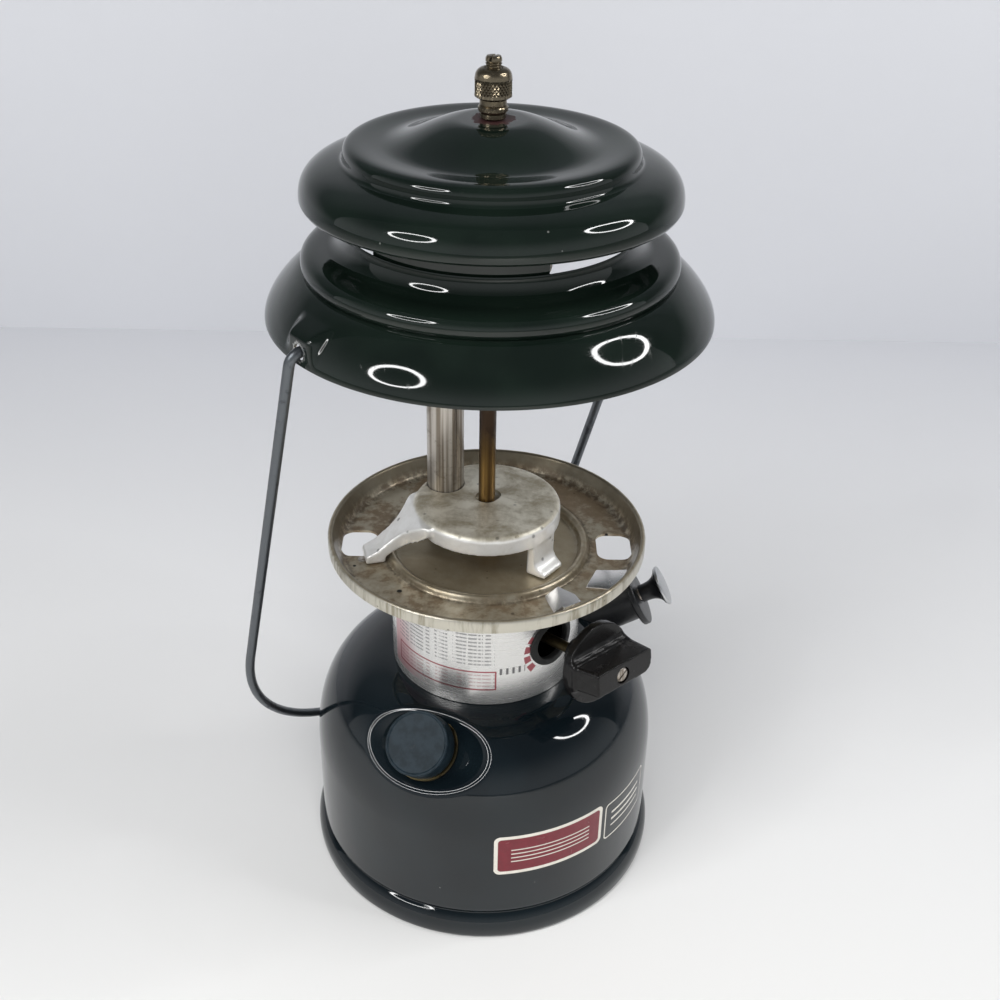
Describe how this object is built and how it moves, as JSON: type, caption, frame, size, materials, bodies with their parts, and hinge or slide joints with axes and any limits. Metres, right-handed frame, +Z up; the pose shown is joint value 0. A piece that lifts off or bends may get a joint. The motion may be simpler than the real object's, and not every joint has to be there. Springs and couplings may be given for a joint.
{
  "type": "single mantle lantern",
  "caption": "Liquid fuel lantern with a domed enamelled fount, pump, control knob, globe rest, burner column, vented enamel hood and a long wire bail, without its globe.",
  "frame": {"origin": "on the lantern's axis, in the plane that the fount's foot stands on", "axes": "+Z up along the lantern's axis, -Y towards the front with the filler and the control knob, +X to the pump's side"},
  "size_m": [0.1658, 0.1614, 0.305],
  "materials": {
    "fount_enamel": "very glossy near-black green enamel",
    "vent_enamel": "very glossy near-black green porcelain enamel, chipped and rusty at the nut",
    "pan_steel": "dark painted steel",
    "collar_steel": "bright plated sheet, lightly worn",
    "dish_nickel": "dull nickel plate, heat stained brown",
    "cast_metal": "rough cast metal, heat stained",
    "tube_steel": "plated steel, stained",
    "brass": "brass, darkened by heat",
    "black_plastic": "satin black plastic",
    "rubber": "black rubber",
    "leather": "oiled brown leather",
    "aluminium": "satin aluminium",
    "nut_metal": "worn dark nickel plate",
    "wire_steel": "dark oxidised steel wire",
    "mantle_ash": "white burnt mantle fabric, matte",
    "burner_ceramic": "pale heat resisting burner cap"
  },
  "bodies": {
    "fount": {"fount_shell": "fount_enamel", "fount_base_pan": "pan_steel", "filler_neck": "brass", "pump_barrel": "brass", "pump_cap": "black_plastic", "check_valve": "brass", "collar": "collar_steel", "valve_hole_ring": "rubber", "fount_bush": "brass", "valve_body": "brass", "pickup_tube": "brass", "packing_nut": "brass", "globe_rest": "dish_nickel", "bridge": "cast_metal", "bridge_screw_1": "tube_steel", "bridge_screw_2": "tube_steel", "bridge_screw_3": "tube_steel", "air_tube": "tube_steel", "generator_jam_nut": "brass", "generator_tube": "brass", "gas_tip": "brass", "mixing_chamber": "cast_metal", "ventilator_stud": "tube_steel", "burner_tube": "tube_steel", "burner_cap": "burner_ceramic", "mantle": "mantle_ash"},
    "ventilator": {"ventilator_skirt": "vent_enamel", "ventilator_tab_1": "vent_enamel", "ventilator_tab_2": "vent_enamel", "ventilator_tab_3": "vent_enamel", "ventilator_cap": "vent_enamel"},
    "nut": {"ball_nut": "nut_metal"},
    "bail": {"bail": "wire_steel"},
    "valve": {"valve_stem": "brass", "valve_knob": "black_plastic", "valve_knob_screw": "tube_steel"},
    "needle": {"cleaning_needle": "tube_steel"},
    "filler_seal": {"filler_gasket": "rubber"},
    "filler_cap": {"filler_cap": "black_plastic"},
    "pump_piston": {"pump_cup": "leather", "pump_cup_nut": "brass"},
    "pump_plunger": {"pump_rod": "tube_steel", "pump_knob": "black_plastic", "pump_knob_disc": "aluminium"},
    "air_stem": {"air_stem": "tube_steel"}
  },
  "joints": [
    {"name": "ventilator_lift", "type": "slide", "parent": "fount", "child": "ventilator", "axis": [0, 0, 1], "range_m": [0, 0.12]},
    {"name": "ball_nut_turn", "type": "hinge", "parent": "ventilator", "child": "nut", "pos_m": [0, 0, 0.295], "axis": [0, 0, 1], "continuous": true},
    {"name": "bail_swing", "type": "hinge", "parent": "ventilator", "child": "bail", "pos_m": [0, 0, 0.2296], "axis": [0.7793, 0.6266, 0], "range_deg": [0, 300]},
    {"name": "valve_turn", "type": "hinge", "parent": "fount", "child": "valve", "pos_m": [0, 0, 0.1038], "axis": [0.6754, -0.7242, 0.1392], "range_deg": [0, 270]},
    {"name": "needle_rise", "type": "slide", "parent": "fount", "child": "needle", "axis": [0, 0, 1], "range_m": [0, 0.0019]},
    {"name": "filler_lift", "type": "slide", "parent": "fount", "child": "filler_seal", "axis": [-0.2882, -0.6181, 0.7314], "range_m": [0, 0.025]},
    {"name": "filler_turn", "type": "hinge", "parent": "filler_seal", "child": "filler_cap", "pos_m": [-0.02371, -0.05084, 0.082], "axis": [-0.2882, -0.6181, 0.7314], "continuous": true},
    {"name": "pump_stroke", "type": "slide", "parent": "fount", "child": "pump_piston", "axis": [0.8805, 0, 0.4741], "range_m": [0, 0.06]},
    {"name": "pump_twist", "type": "hinge", "parent": "pump_piston", "child": "pump_plunger", "pos_m": [0.06114, 0.0258, 0.09202], "axis": [0.8805, 0, 0.4741], "range_deg": [0, 360]},
    {"name": "air_stem_twist", "type": "hinge", "parent": "fount", "child": "air_stem", "pos_m": [0.06114, 0.0258, 0.09202], "axis": [0.8805, 0, 0.4741], "range_deg": [0, 360]}
  ],
  "couplings": [
    {"joint": "needle_rise", "follows": "valve_turn", "m_per_rad": 0.0004},
    {"joint": "air_stem_twist", "follows": "pump_twist", "ratio": 1}
  ]
}
